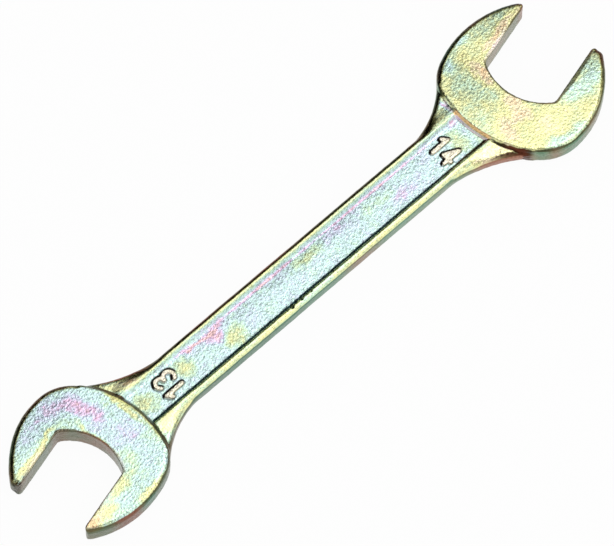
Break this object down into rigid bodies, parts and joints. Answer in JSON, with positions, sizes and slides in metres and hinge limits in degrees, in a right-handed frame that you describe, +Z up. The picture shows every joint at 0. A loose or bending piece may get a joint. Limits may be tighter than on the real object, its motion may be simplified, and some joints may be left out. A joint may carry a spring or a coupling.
{
  "type": "open end wrench",
  "caption": "Flat double open end wrench, one steel forging with a sunk shank panel, raised size numbers and a jaw angled at each end.",
  "frame": {"origin": "on the surface that the wrench lies on, under the shank's axis, midway between the centres of the two heads", "axes": "+X runs along the shank towards the large jaw, +Z is up, out of the side that shows, and the large jaw leans 15 degrees towards +Y"},
  "size_m": [0.1289, 0.0288, 0.0045],
  "materials": {
    "yellow_zinc_steel": "satin, blasted, yellow chromated zinc with pale rainbow tints"
  },
  "bodies": {
    "root": {"wrench_forging": "yellow_zinc_steel"}
  },
  "joints": []
}
